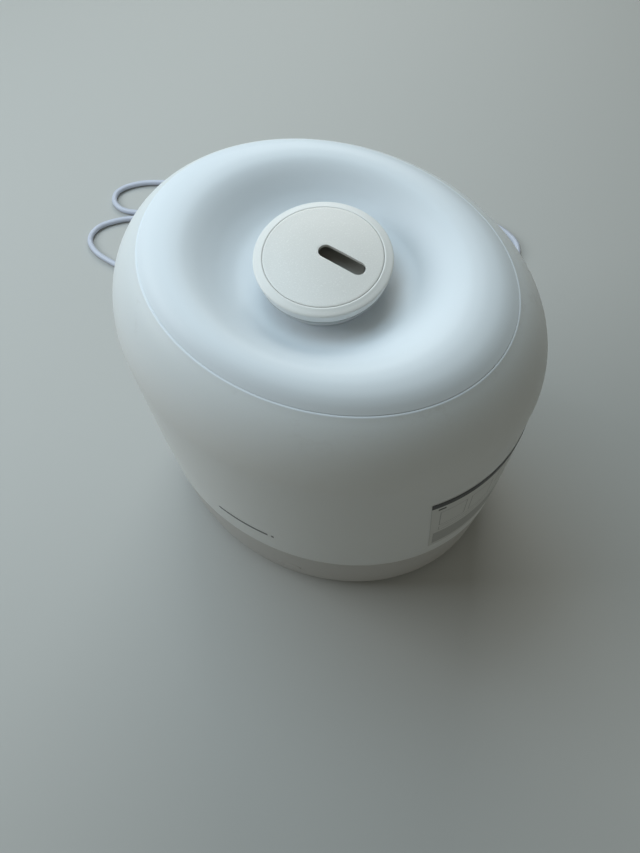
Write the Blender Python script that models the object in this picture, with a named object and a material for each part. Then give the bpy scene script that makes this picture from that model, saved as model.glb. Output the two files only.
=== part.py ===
"""Cool mist humidifier: oval base, lift-off water tank, top cover and turning mist nozzle.

+X runs along the long axis, -Y is the front, +Z is up. The feet stand on z = 0.
"""
import bpy
import bmesh
import math
from mathutils import Matrix, Vector

MM = 0.001
GAP = 0.3

# Outer oval (half width along X, half depth along Y) and how the depth shrinks with an inset.
OVAL_A = 110.5
OVAL_B = 90.5
INSET_RATIO = 0.93
SIDES = 48

# Heights
FOOT_H = 2.7
BASE_LOW = 3.0
BASE_TOP = 59.4
TANK_LOW = 60.2
SHOULDER_Z = 178.0
SHOULDER_W = 44.0
SHOULDER_H = 52.0
SHOULDER_STEPS = 7
SEAM_Z = 222.3
SEAM_INSET = 22.7
CREST_Z = 228.6
BOWL_Z = 214.0
BOWL_R = 33.0

WALL = 2.2
BASIN_TOP = 59.2
BASIN_FLOOR = 30.0
BASIN_INSET = 18.0

# Nozzle
RING_R = 30.9
RING_EDGE = 227.9
RING_INNER = 27.0
RING_LOW = 220.2
PLATE_LOW = 228.4
BAFFLE_R = 17.5
BAFFLE_Z = 218.6
DISC_R = 26.7
DISC_TOP = 229.8
SOCKET_R = 22.3
SOCKET_LOW = 200.0
SLOT_W = 6.9
SLOT_L = 23.4
SLOT_TURN = -5.5
SLOT_MIDDLE = (8.5, 1.4)

# Mist tube and valve
TUBE_R = 17.0
TUBE_BORE = 15.0
TUBE_LOW = 44.0
TUBE_TOP = 206.0
VALVE_X = -62.0
VALVE_TURNS = 4.5
VALVE_WIRE_R = 0.45
VALVE_COIL_R = 4.3
VALVE_FLOOR = 54.0
PIN_TOP = 41.7
VALVE_LEDGE = 43.6

# Fan, float and button
FAN_X = 56.0
FAN_SIZE = 40.0
FAN_LOW = 8.6
FAN_BLADES = 7
BLADE_PITCH = 0.55
FLOAT_Y = 52.0
VENT_SLOTS = 5
VENT_PITCH = 7.0
SCREW_SPOTS = [(x, y) for x in (-66.0, 66.0) for y in (-42.0, 42.0)]
FOOT_SPOTS = [(x, y) for x in (-82.0, 82.0) for y in (-34.0, 34.0)]
BUTTON_X = 18.0
BUTTON_Z = 28.0
BUTTON_W = 15.0
BUTTON_H = 6.4
BUTTON_INSET = 1.2

# Rating label, in degrees round the oval
LABEL_LOW = 77.0
LABEL_HIGH = 154.0
LABEL_START = -38.0
LABEL_LEAN = 3.6
LABEL_END = 4.0

# Cord
CORD_D = 4.3
EXIT_X = 25.0
EXIT_Z = 14.0
GLAND_END = 110.0
CORD_POINTS = 78

for item in list(bpy.data.objects):
    bpy.data.objects.remove(item, do_unlink=True)


def material(name, colour, rough, metal=0.0):
    found = bpy.data.materials.get(name)
    if found:
        return found
    made = bpy.data.materials.new(name)
    made.use_nodes = True
    shader = made.node_tree.nodes["Principled BSDF"]
    shader.inputs["Base Color"].default_value = (*colour, 1.0)
    shader.inputs["Roughness"].default_value = rough
    shader.inputs["Metallic"].default_value = metal
    return made


FROST = ("frosted_tank", (0.78, 0.78, 0.76), 0.42)
COVER_WHITE = ("cover_white", (0.80, 0.84, 0.88), 0.30)
WARM_WHITE = ("nozzle_white", (0.82, 0.82, 0.80), 0.50)
BASE_WHITE = ("base_white", (0.70, 0.69, 0.67), 0.45)
INNER_WHITE = ("inner_white", (0.75, 0.76, 0.77), 0.50)
SILICONE = ("silicone", (0.62, 0.66, 0.70), 0.60)
RUBBER = ("rubber_grey", (0.20, 0.20, 0.21), 0.80)
STEEL = ("steel", (0.60, 0.60, 0.62), 0.30, 1.0)
BOARD = ("board_green", (0.05, 0.25, 0.12), 0.50)
BLACK = ("black_plastic", (0.03, 0.03, 0.035), 0.50)
CORD_WHITE = ("cord_white", (0.72, 0.73, 0.82), 0.45)
LABEL = ("label_grey", (0.60, 0.60, 0.59), 0.25)
CERAMIC = ("ceramic", (0.75, 0.70, 0.55), 0.35)
ALLOY = ("aluminium", (0.70, 0.71, 0.73), 0.35, 1.0)


def finish(name, bm, look, smooth_angle=35.0):
    """Turn a bmesh given in millimetres into a named object with a material."""
    bmesh.ops.recalc_face_normals(bm, faces=bm.faces)
    bmesh.ops.scale(bm, vec=(MM, MM, MM), verts=bm.verts)
    mesh = bpy.data.meshes.new(name)
    bm.to_mesh(mesh)
    bm.free()
    if mesh.polygons and smooth_angle:
        mesh.shade_smooth()
        mesh.set_sharp_from_angle(angle=math.radians(smooth_angle))
    if look:
        mesh.materials.append(material(*look))
    made = bpy.data.objects.new(name, mesh)
    bpy.context.scene.collection.objects.link(made)
    return made


def oval(inset):
    return OVAL_A - inset, OVAL_B - inset * INSET_RATIO


def skin(bm, rings, sides, closed, centre=(0.0, 0.0)):
    """Join rings of half axes and height; a closed set makes a hollow ring, an open one a solid."""
    loops = []
    for half_x, half_y, z in rings:
        loop = []
        for i in range(sides):
            turn = 2.0 * math.pi * i / sides
            x = centre[0] + half_x * math.cos(turn)
            y = centre[1] + half_y * math.sin(turn)
            loop.append(bm.verts.new((x, y, z)))
        loops.append(loop)
    pairs = list(zip(loops, loops[1:]))
    if closed:
        pairs.append((loops[-1], loops[0]))
    else:
        bm.faces.new(loops[0])
        bm.faces.new(loops[-1])
    for low, high in pairs:
        for i in range(sides):
            j = (i + 1) % sides
            bm.faces.new((low[i], low[j], high[j], high[i]))


def oval_ring(name, section, look, sides=SIDES):
    """A hollow oval piece from a closed section of (inset, height) points."""
    bm = bmesh.new()
    skin(bm, [(*oval(inset), z) for inset, z in section], sides, True)
    return finish(name, bm, look)


def oval_plate(name, section, look, sides=SIDES):
    bm = bmesh.new()
    skin(bm, [(*oval(inset), z) for inset, z in section], sides, False)
    return finish(name, bm, look)


def turned(name, section, look, sides=32, centre=(0.0, 0.0), closed=True):
    """A round piece from (radius, height) points: closed sections are hollow, open ones solid."""
    bm = bmesh.new()
    skin(bm, [(r, r, z) for r, z in section], sides, closed, centre)
    return finish(name, bm, look)


def repeat(name, centres, section, look, sides=16):
    """One solid turned piece at each centre, numbered from 1."""
    for i, centre in enumerate(centres):
        turned(f"{name}_{i + 1}", section, look, sides, centre, False)


def block(name, low, high, look):
    bm = bmesh.new()
    bmesh.ops.create_cube(bm, size=1.0)
    size = [b - a for a, b in zip(low, high)]
    middle = [(a + b) / 2 for a, b in zip(low, high)]
    bmesh.ops.scale(bm, vec=size, verts=bm.verts)
    bmesh.ops.translate(bm, vec=middle, verts=bm.verts)
    return finish(name, bm, look, 0)


def stadium(width, height, steps=8):
    """Outline of a slot with round ends, long along its first axis."""
    half = (width - height) / 2
    points = []
    for side in (1, -1):
        for i in range(steps + 1):
            turn = math.pi * (i / steps - 0.5)
            if side < 0:
                turn += math.pi
            points.append((side * half + math.cos(turn) * height / 2, math.sin(turn) * height / 2))
    return points


def prism(name, outline, place, low, high, look):
    """Extrude an outline from low to high; place maps (u, v, w) to a point."""
    bm = bmesh.new()
    loops = []
    for w in (low, high):
        loops.append([bm.verts.new(place(u, v, w)) for u, v in outline])
    bm.faces.new(loops[0])
    bm.faces.new(loops[1])
    count = len(outline)
    for i in range(count):
        j = (i + 1) % count
        bm.faces.new((loops[0][i], loops[0][j], loops[1][j], loops[1][i]))
    return finish(name, bm, look)


def combine(target, tool, operation):
    """Boolean a hidden tool into the target."""
    tool.hide_render = True
    tool.display_type = "WIRE"
    tool.hide_set(True)
    change = target.modifiers.new(tool.name, "BOOLEAN")
    change.operation = operation
    change.solver = "EXACT"
    change.object = tool


def shoulder(inset_low, height):
    """Heights and insets of the rounded tank shoulder, from the straight wall up."""
    points = []
    for i in range(1, SHOULDER_STEPS + 1):
        z = SHOULDER_Z + (SEAM_Z - SHOULDER_Z) * i / SHOULDER_STEPS
        drop = 1.0 - math.sqrt(1.0 - ((z - SHOULDER_Z) / height) ** 2)
        points.append((inset_low + SHOULDER_W * drop, z))
    return points


# ---- base ----

BASE_OUTSIDE = [
    (6.6, BASE_LOW), (4.4, 4.2), (2.9, 7.5), (2.0, 14.0), (1.2, 28.0), (0.7, 44.0), (0.5, BASE_TOP)]
RIM_INSET = BASE_OUTSIDE[-1][0]


def make_base():
    section = BASE_OUTSIDE + [
        (RIM_INSET + WALL, BASE_TOP), (RIM_INSET + WALL, 57.0), (9.6, 57.0), (9.6, 54.8), (1.0 + WALL, 54.8),
        (1.2 + WALL, 28.0), (2.4 + WALL, 14.0), (6.6, 6.4)]
    housing = oval_ring("base_housing", section, BASE_WHITE)
    normal = math.atan2(BUTTON_X / OVAL_A ** 2, 1.0 / OVAL_B * math.sqrt(1 - (BUTTON_X / OVAL_A) ** 2))
    face_y = -(OVAL_B - BUTTON_INSET) * math.sqrt(1 - (BUTTON_X / (OVAL_A - BUTTON_INSET)) ** 2)

    def on_front(u, v, w):
        across = Vector((math.cos(normal), math.sin(normal), 0.0))
        inward = Vector((-math.sin(normal), math.cos(normal), 0.0))
        spot = Vector((BUTTON_X, face_y, BUTTON_Z)) + across * u + inward * w
        return spot.x, spot.y, spot.z + v

    hole = prism("button_hole", stadium(BUTTON_W + 2 * GAP, BUTTON_H + 2 * GAP), on_front, -4.0, 6.0, None)
    combine(housing, hole, "DIFFERENCE")
    prism("power_button", stadium(BUTTON_W, BUTTON_H), on_front, -0.5, 5.5, WARM_WHITE)
    prism("button_switch", stadium(6.0, 5.9, 5), on_front, 7.0, 10.4, BLACK)
    board = [(-13.0, -8.0), (13.0, -8.0), (13.0, 8.0), (-13.0, 8.0)]
    prism("button_board", board, on_front, 10.7, 12.3, BOARD)

    def along_y(u, v, w):
        return EXIT_X + u, w, EXIT_Z + v

    round_hole = stadium(9.8, 9.8, 10)
    cut = prism("gland_hole", round_hole, along_y, 78.0, 96.0, None)
    combine(housing, cut, "DIFFERENCE")

    plate = oval_plate("bottom_plate", [(7.0, BASE_LOW), (7.0, 5.2)], BASE_WHITE)
    for i in range(VENT_SLOTS):
        slot_y = (i - (VENT_SLOTS - 1) / 2) * VENT_PITCH

        def on_floor(u, v, w, shift=slot_y):
            return FAN_X + u, shift + v, w

        slot = prism(f"vent_slot_{i}", stadium(30.0, 3.2, 4), on_floor, 0.0, 8.0, None)
        combine(plate, slot, "DIFFERENCE")
    for i, (x, y) in enumerate(SCREW_SPOTS):
        hole = turned(f"screw_hole_{i}", [(2.0, 0.0), (2.0, 8.0)], None, 16, (x, y), False)
        combine(plate, hole, "DIFFERENCE")
    repeat("bottom_screw", SCREW_SPOTS, [(3.4, 0.9), (3.4, 2.6), (1.6, 2.6), (1.6, 13.0)], STEEL, 16)
    repeat("rubber_foot", FOOT_SPOTS, [(6.6, 0.0), (7.5, 0.6), (7.5, FOOT_H)], RUBBER, 18)


def make_basin():
    rim = [
        (BASIN_INSET, BASIN_FLOOR + 4.0), (BASIN_INSET, 57.3), (3.0, 57.3), (3.0, BASIN_TOP),
        (BASIN_INSET + WALL, BASIN_TOP), (BASIN_INSET + WALL, BASIN_FLOOR + 4.5),
        (BASIN_INSET + 5.5, BASIN_FLOOR)]
    basin = oval_plate("water_basin", rim[::-1] + [(BASIN_INSET + 4.0, BASIN_FLOOR - WALL)], INNER_WHITE)
    sump = turned("sump_hole", [(11.0, 20.0), (11.0, 40.0)], None, 28, (0, 0), False)
    combine(basin, sump, "DIFFERENCE")
    duct_hole = block("duct_hole", (FAN_X - 12.3, -12.3, 20.0), (FAN_X + 12.3, 12.3, 40.0), None)
    combine(basin, duct_hole, "DIFFERENCE")
    for i, (x, y) in enumerate(SCREW_SPOTS):
        post = turned(f"screw_post_{i}", [(4.0, 5.6), (4.0, BASIN_FLOOR - 1.0)], None, 16, (x, y), False)
        combine(basin, post, "UNION")
        bore = turned(f"post_bore_{i}", [(1.9, 4.0), (1.9, 16.0)], None, 12, (x, y), False)
        combine(basin, bore, "DIFFERENCE")

    turned("transducer_seal", [
        (10.0, 27.5), (10.7, 27.5), (10.7, 31.3), (8.0, 31.3), (8.0, 30.1), (10.0, 30.1)], SILICONE, 22)
    turned("transducer_disc", [(9.7, 28.5), (9.7, 29.8)], CERAMIC, 22, (0, 0), False)
    turned("transducer_retainer", [(7.0, 25.6), (14.0, 25.6), (14.0, 27.2), (7.0, 27.2)], ALLOY, 22)
    turned("valve_pin", [(5.0, BASIN_FLOOR + GAP), (3.0, 33.0), (3.0, PIN_TOP)], INNER_WHITE, 20,
           (VALVE_X, 0), False)
    turned("float_post", [
        (6.0, BASIN_FLOOR + GAP), (6.0, 31.3), (3.0, 31.3), (3.0, 48.5), (5.2, 48.5), (5.2, 50.0)],
        INNER_WHITE, 20, (0, FLOAT_Y), False)
    turned("water_float", [(3.4, 31.7), (10.0, 31.7), (10.0, 39.0), (3.4, 39.0)], WARM_WHITE, 24,
           (0, FLOAT_Y))
    turned("float_magnet", [(5.0, 39.3), (8.0, 39.3), (8.0, 41.0), (5.0, 41.0)], BLACK, 20, (0, FLOAT_Y))


def make_fan():
    half = FAN_SIZE / 2
    low = FAN_LOW
    frame = block("fan_frame", (FAN_X - half, -half, low), (FAN_X + half, half, low + 10), BLACK)
    bore = turned("fan_bore", [(18.6, low - 2), (18.6, low + 12)], None, 32, (FAN_X, 0), False)
    combine(frame, bore, "DIFFERENCE")
    hub = turned("fan_hub", [(7.5, low), (7.5, low + 1.4)], None, 20, (FAN_X, 0), False)
    bars = (
        block("fan_bar_x", (FAN_X - 18.9, -1.2, low + 0.1), (FAN_X + 18.9, 1.2, low + 1.3), None),
        block("fan_bar_y", (FAN_X - 1.2, -18.9, low + 0.1), (FAN_X + 1.2, 18.9, low + 1.3), None))
    for bar in bars:
        combine(frame, bar, "UNION")
    combine(frame, hub, "UNION")
    rotor = turned("fan_rotor", [(7.0, low + 1.8), (7.5, low + 2.4), (7.5, low + 9.0), (6.5, low + 9.6)],
                   BLACK, 21, (0, 0), False)
    rotor.location = (FAN_X * MM, 0, 0)
    for i in range(FAN_BLADES):
        bm = bmesh.new()
        bmesh.ops.create_cube(bm, size=1.0)
        bmesh.ops.scale(bm, vec=(11.0, 1.0, 7.4), verts=bm.verts)
        for vert in bm.verts:
            vert.co.y += BLADE_PITCH * vert.co.z
        bmesh.ops.translate(bm, vec=(12.2, 0, low + 5.6), verts=bm.verts)
        for vert in bm.verts:
            turn = 2 * math.pi * i / FAN_BLADES
            x, y = vert.co.x, vert.co.y
            vert.co.x = x * math.cos(turn) - y * math.sin(turn)
            vert.co.y = x * math.sin(turn) + y * math.cos(turn)
        blade = finish(f"fan_blade_{i}", bm, None, 0)
        blade.location = rotor.location
        combine(rotor, blade, "UNION")
    bm = bmesh.new()
    loops = []
    for side, z in ((12.0, low + 10.3), (12.0, 54.0), (10.4, 54.0), (10.4, low + 10.3)):
        corners = ((-1, -1), (1, -1), (1, 1), (-1, 1))
        loops.append([bm.verts.new((FAN_X + side * u, side * v, z)) for u, v in corners])
    for low_loop, high_loop in zip(loops, loops[1:] + loops[:1]):
        for i in range(4):
            j = (i + 1) % 4
            bm.faces.new((low_loop[i], low_loop[j], high_loop[j], high_loop[i]))
    finish("air_duct", bm, INNER_WHITE, 0)


def make_electronics():
    posts = [(x, y) for x in (-78.0, -26.0) for y in (-15.0, 15.0)]
    repeat("board_standoff", posts, [(2.6, 5.5), (2.6, 8.0)], INNER_WHITE, 14)
    block("control_board", (-82.0, -20.0, 8.3), (-22.0, 20.0, 9.9), BOARD)
    sink = block("heat_sink", (-76.0, -6.0, 10.2), (-56.0, 12.0, 22.0), ALLOY)
    for i in range(4):
        fin = block(f"fin_gap_{i}", (-80.0, -3.4 + 4.0 * i, 13.0), (-50.0, -1.2 + 4.0 * i, 26.0), None)
        combine(sink, fin, "DIFFERENCE")
    cans = [(-45.0, 8.0), (-36.0, 8.0)]
    repeat("board_capacitor", cans, [(4.0, 10.2), (4.0, 20.0)], BLACK, 18)
    block("board_coil", (-46.0, -14.0, 10.2), (-34.0, -4.0, 17.0), STEEL)


# ---- tank ----

def make_tank():
    outside = [(1.6, TANK_LOW), (0.5, 61.0), (0.0, 62.8), (0.0, 110.0), (0.4, 150.0), (0.9, SHOULDER_Z)]
    outside += shoulder(0.9, SHOULDER_H)[:-1] + [(SEAM_INSET, SEAM_Z)]
    inside = [(WALL + 0.9, SHOULDER_Z), (WALL, 110.0), (WALL, TANK_LOW)]
    inner_arc = [(i, z) for i, z in shoulder(WALL + 0.9, SHOULDER_H - 2.0) if z < 219.0]
    mouth = [(26.8, SEAM_Z), (26.8, 219.8), (inner_arc[-1][0] + 4.6, 219.8)]
    oval_ring("tank_shell", outside + mouth + inner_arc[::-1] + inside, FROST)

    floor = oval_plate("tank_floor", [(WALL + GAP, 62.3), (WALL + GAP, 64.5)], FROST)
    for name, x, radius in (("tube_hole", 0.0, TUBE_R + GAP), ("valve_hole", VALVE_X, 18.0)):
        hole = turned(name, [(radius, 60.0), (radius, 70.0)], None, 32, (x, 0), False)
        combine(floor, hole, "DIFFERENCE")
    turned("mist_tube", [(TUBE_R, TUBE_LOW), (TUBE_R, TUBE_TOP), (TUBE_BORE, TUBE_TOP), (TUBE_BORE, TUBE_LOW)],
           FROST, 32)
    oval_ring("tank_foot_seal", [(4.2, 60.6), (8.0, 60.6), (8.0, 62.0), (4.2, 62.0)], SILICONE, 40)

    cap = turned("valve_cap", [
        (3.0, VALVE_FLOOR), (17.7, VALVE_FLOOR), (17.7, 67.0), (15.4, 67.0), (15.4, 56.2), (3.0, 56.2)],
        INNER_WHITE, 32, (VALVE_X, 0))
    for i in range(4):
        turn = math.pi / 4 + math.pi / 2 * i
        spot = (VALVE_X + 9.5 * math.cos(turn), 9.5 * math.sin(turn))
        port = turned(f"valve_port_{i}", [(2.8, 50.0), (2.8, 60.0)], None, 14, spot, False)
        combine(cap, port, "DIFFERENCE")
    turned("valve_plunger", [
        (6.0, PIN_TOP + GAP), (6.0, VALVE_LEDGE), (2.6, VALVE_LEDGE), (2.6, 60.0), (12.5, 60.0), (12.5, 61.6)],
        INNER_WHITE, 24, (VALVE_X, 0), False)
    turned("valve_seal", [(3.0, 58.5), (13.2, 58.5), (13.2, 59.7), (3.0, 59.7)], SILICONE, 28, (VALVE_X, 0))
    make_spring()


def make_spring():
    """Compression spring round the valve stem, square-cut at both ends."""
    low = VALVE_LEDGE + GAP + VALVE_WIRE_R
    high = VALVE_FLOOR - GAP - VALVE_WIRE_R
    steps = int(10 * VALVE_TURNS)
    curve = bpy.data.curves.new("valve_spring", "CURVE")
    curve.dimensions = "3D"
    curve.bevel_depth = VALVE_WIRE_R * MM
    curve.bevel_resolution = 1
    curve.use_fill_caps = True
    spline = curve.splines.new("POLY")
    spline.points.add(steps)
    for i, point in enumerate(spline.points):
        share = i / steps
        turn = 2 * math.pi * VALVE_TURNS * share
        across = VALVE_COIL_R * math.cos(turn)
        spot = (VALVE_X + across, VALVE_COIL_R * math.sin(turn), low + (high - low) * share)
        point.co = (spot[0] * MM, spot[1] * MM, spot[2] * MM, 1.0)
    curve.materials.append(material(*STEEL))
    spring = bpy.data.objects.new("valve_spring", curve)
    bpy.context.scene.collection.objects.link(spring)


def make_label():
    """Rating label: a thin sheet that follows the tank wall at its right front."""
    bm = bmesh.new()
    steps = 14
    loops = []
    for out in (GAP, 2 * GAP):
        for z, start in ((LABEL_LOW, LABEL_START + LABEL_LEAN), (LABEL_HIGH, LABEL_START)):
            loop = []
            for i in range(steps + 1):
                turn = math.radians(start + (LABEL_END - start) * i / steps)
                x = (OVAL_A + out) * math.cos(turn)
                y = (OVAL_B + out) * math.sin(turn)
                loop.append(bm.verts.new((x, y, z)))
            loops.append(loop)
    low_in, high_in, low_out, high_out = loops
    for i in range(steps):
        j = i + 1
        bm.faces.new((low_in[i], low_in[j], high_in[j], high_in[i]))
        bm.faces.new((low_out[i], high_out[i], high_out[j], low_out[j]))
        bm.faces.new((low_in[i], low_out[i], low_out[j], low_in[j]))
        bm.faces.new((high_in[i], high_in[j], high_out[j], high_out[i]))
    for i in (0, steps):
        bm.faces.new((low_in[i], high_in[i], high_out[i], low_out[i]))
    finish("rating_label", bm, LABEL, 0)


# ---- cover and nozzle ----

COVER_HEIGHTS = [
    (0.0, 223.2), (0.07, 225.6), (0.15, 227.4), (0.25, 228.5), (0.33, CREST_Z), (0.42, 227.9),
    (0.52, 225.8), (0.63, 222.4), (0.74, 218.8), (0.86, 215.9), (1.0, BOWL_Z + 0.6)]


def cover_ring(share, z):
    """A ring at a share of the way from the seam oval to the round bowl floor."""
    wide, deep = oval(SEAM_INSET + 0.2)
    return wide + (BOWL_R - wide) * share, deep + (BOWL_R - deep) * share, z


def make_cover():
    top = [cover_ring(share, z) for share, z in COVER_HEIGHTS]
    throat = [(27.0, 27.0, BOWL_Z), (SOCKET_R, SOCKET_R, BOWL_Z), (SOCKET_R, SOCKET_R, SOCKET_LOW),
              (SOCKET_R + 2, SOCKET_R + 2, SOCKET_LOW), (SOCKET_R + 2, SOCKET_R + 2, BOWL_Z - WALL)]
    under = [cover_ring(share, z - WALL) for share, z in COVER_HEIGHTS[:2:-1] + [(0.2, 228.0)]]
    skirt = [(*oval(31.2), 225.0), (*oval(31.2), 213.0), (*oval(29.3), 213.0), (*oval(29.3), 224.0),
             (*oval(SEAM_INSET + 3.0), 222.6), (*oval(SEAM_INSET + 0.2), 222.6)]
    bm = bmesh.new()
    skin(bm, top + throat + under + skirt, SIDES, True)
    finish("top_cover", bm, COVER_WHITE)
    oval_ring("cover_gasket", [(27.1, 216.6), (29.0, 216.6), (29.0, 219.2), (27.1, 219.2)], SILICONE, 40)


def make_nozzle():
    turned("nozzle_collar", [
        (18.8, 203.0), (22.0, 203.0), (22.0, 214.3), (26.5, 214.3), (26.5, 216.6), (22.0, 217.6),
        (22.0, 223.3), (24.6, 223.3), (24.6, 225.0), (18.8, 225.0)], INNER_WHITE, 32)
    turned("nozzle_ring", [
        (RING_INNER, 229.2), (30.2, 228.3), (RING_R, RING_EDGE), (RING_R, 227.2), (29.4, RING_LOW),
        (22.3, RING_LOW), (22.3, 223.0), (25.6, 223.0), (25.6, PLATE_LOW - GAP),
        (RING_INNER, PLATE_LOW - GAP)], WARM_WHITE, 44)
    disc = turned("nozzle_disc", [
        (DISC_R, PLATE_LOW), (DISC_R, 229.3), (26.1, DISC_TOP - 0.1), (20.0, DISC_TOP), (8.0, DISC_TOP + 0.2)],
        WARM_WHITE, 44, (0, 0), False)
    baffle = turned("splash_baffle", [(BAFFLE_R, BAFFLE_Z), (BAFFLE_R, BAFFLE_Z + 1.4)], INNER_WHITE, 36,
                    (0, 0), False)
    for i in range(3):
        turn = math.radians(60 + 120 * i)
        spot = ((BAFFLE_R - 2.0) * math.cos(turn), (BAFFLE_R - 2.0) * math.sin(turn))
        peg = [(1.2, BAFFLE_Z + 0.7), (1.2, PLATE_LOW - GAP)]
        post = turned(f"baffle_post_{i}", peg, None, 12, spot, False)
        combine(baffle, post, "UNION")

    def on_top(u, v, w):
        turn = math.radians(SLOT_TURN)
        x = SLOT_MIDDLE[0] + u * math.cos(turn) - v * math.sin(turn)
        y = SLOT_MIDDLE[1] + u * math.sin(turn) + v * math.cos(turn)
        return x, y, w

    slot = prism("mist_slot", stadium(SLOT_L, SLOT_W), on_top, 220.0, 235.0, None)
    combine(disc, slot, "DIFFERENCE")


# ---- cord ----

CORD_ROUTE = [
    (25.0, 110.3, 14.0), (25.0, 118.0, 13.4), (26.0, 128.0, 10.6), (28.5, 140.0, 6.4), (33.0, 156.0, 3.2),
    (42.0, 178.0, 2.5), (50.0, 198.0, 2.5), (53.5, 215.5, 2.5), (49.0, 229.0, 2.5), (38.0, 236.5, 2.5),
    (20.0, 239.5, 2.5), (-12.0, 233.0, 2.5), (-50.0, 223.0, 2.5), (-90.0, 211.0, 2.5),
    (-130.0, 198.0, 2.5), (-170.0, 184.0, 2.5), (-200.0, 173.5, 2.5), (-222.0, 164.5, 2.5),
    (-240.0, 156.0, 2.5), (-256.0, 147.5, 2.5), (-267.0, 137.5, 2.5), (-271.5, 127.5, 2.5),
    (-267.5, 118.5, 2.5), (-257.0, 114.8, 2.5), (-243.0, 118.5, 2.5), (-230.0, 129.0, 2.5),
    (-215.0, 139.0, 2.5), (-190.0, 146.0, 2.5), (-160.0, 150.0, 2.5), (-125.0, 152.5, 2.5),
    (-92.0, 153.5, 2.5), (-70.0, 153.0, 2.5), (-57.0, 147.9, 2.5), (-52.0, 135.7, 2.5),
    (-57.0, 123.5, 2.5), (-70.0, 118.4, 2.5), (-92.0, 118.0, 2.5), (-125.0, 119.0, 2.5),
    (-160.0, 121.0, 2.5), (-195.0, 122.5, 2.5), (-224.0, 119.5, 2.5), (-243.0, 111.5, 2.5),
    (-256.5, 101.0, 2.5), (-264.5, 89.5, 2.5), (-263.5, 77.0, 2.5), (-252.5, 69.0, 2.5),
    (-235.0, 66.0, 2.5), (-215.0, 66.5, 2.5), (-192.0, 70.0, 2.8), (-172.0, 74.0, 3.7),
    (-156.0, 77.0, 4.4), (-148.3, 78.4, 4.6)]
PLUG_START = Vector((-148.0, 78.45, 4.6))
PLUG_TURN = math.atan2(1.4, 7.7)


def smooth_route(points, count):
    """Even points along a Catmull-Rom curve through the route."""
    knots = [Vector(p) for p in points]
    knots = [knots[0] * 2 - knots[1]] + knots + [knots[-1] * 2 - knots[-2]]
    fine = []
    for a, b, c, d in zip(knots, knots[1:], knots[2:], knots[3:]):
        for i in range(12):
            t = i / 12
            fine.append(0.5 * (2 * b + (c - a) * t + (2 * a - 5 * b + 4 * c - d) * t ** 2
                               + (3 * b - a - 3 * c + d) * t ** 3))
    fine.append(knots[-2].copy())
    spans = [0.0]
    for a, b in zip(fine, fine[1:]):
        spans.append(spans[-1] + (b - a).length)
    even = []
    k = 0
    for i in range(count):
        want = spans[-1] * i / (count - 1)
        while k < len(spans) - 2 and spans[k + 1] < want:
            k += 1
        share = (want - spans[k]) / (spans[k + 1] - spans[k])
        even.append(fine[k].lerp(fine[k + 1], share))
    return even


def make_cord():
    gland = turned("cable_gland", [(4.6, 79.0), (4.6, 91.0), (4.2, 92.0), (3.0, 108.0), (2.7, GLAND_END)],
                   CORD_WHITE, 20, (0, 0), False)
    lay_down = Matrix.Rotation(-math.pi / 2, 4, "X")
    gland.data.transform(Matrix.Translation((EXIT_X * MM, 0, EXIT_Z * MM)) @ lay_down)

    curve = bpy.data.curves.new("power_cord", "CURVE")
    curve.dimensions = "3D"
    curve.bevel_depth = CORD_D / 2 * MM
    curve.bevel_resolution = 2
    curve.use_fill_caps = True
    spline = curve.splines.new("POLY")
    route = smooth_route(CORD_ROUTE, CORD_POINTS)
    spline.points.add(len(route) - 1)
    for point, spot in zip(spline.points, route):
        point.co = (*(spot * MM), 1.0)
    curve.materials.append(material(*CORD_WHITE))
    cord = bpy.data.objects.new("power_cord", curve)
    bpy.context.scene.collection.objects.link(cord)

    def along_plug(u, v, w):
        across = Vector((-math.sin(PLUG_TURN), math.cos(PLUG_TURN), 0.0))
        forward = Vector((math.cos(PLUG_TURN), math.sin(PLUG_TURN), 0.0))
        spot = PLUG_START + across * u + forward * w
        return spot.x, spot.y, spot.z + v

    prism("plug_grip", stadium(15.6, 8.4, 6), along_plug, 0.0, 24.0, CORD_WHITE)
    shell = [(-6.0, -2.2), (6.0, -2.2), (6.0, 2.2), (-6.0, 2.2)]
    prism("plug_shell", shell, along_plug, 24.3, 38.0, STEEL)


make_base()
make_basin()
make_fan()
make_electronics()
make_tank()
make_label()
make_cover()
make_nozzle()
make_cord()
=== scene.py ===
import bpy, bmesh, math
from mathutils import Matrix, Vector


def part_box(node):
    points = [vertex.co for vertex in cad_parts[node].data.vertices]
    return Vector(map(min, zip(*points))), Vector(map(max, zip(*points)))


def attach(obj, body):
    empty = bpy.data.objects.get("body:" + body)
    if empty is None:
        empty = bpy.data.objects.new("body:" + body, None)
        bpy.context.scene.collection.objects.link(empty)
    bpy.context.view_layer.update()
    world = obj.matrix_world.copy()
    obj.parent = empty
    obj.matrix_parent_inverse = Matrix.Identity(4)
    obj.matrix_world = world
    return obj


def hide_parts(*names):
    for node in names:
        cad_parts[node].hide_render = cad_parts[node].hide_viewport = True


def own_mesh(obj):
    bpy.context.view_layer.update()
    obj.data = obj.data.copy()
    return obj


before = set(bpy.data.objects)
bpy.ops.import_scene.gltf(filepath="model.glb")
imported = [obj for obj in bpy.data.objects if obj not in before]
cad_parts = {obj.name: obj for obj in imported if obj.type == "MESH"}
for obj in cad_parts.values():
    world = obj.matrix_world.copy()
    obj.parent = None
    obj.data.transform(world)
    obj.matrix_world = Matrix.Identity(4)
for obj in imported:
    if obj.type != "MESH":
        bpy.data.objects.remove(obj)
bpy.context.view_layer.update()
mm = 0.001

# ---------- camera ----------
cameraView = {"at": (100.3, -175.9, 495.9), "heading": 31.35, "pitch": 65.6, "roll": -3.5, "lens": 31.67}


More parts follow.
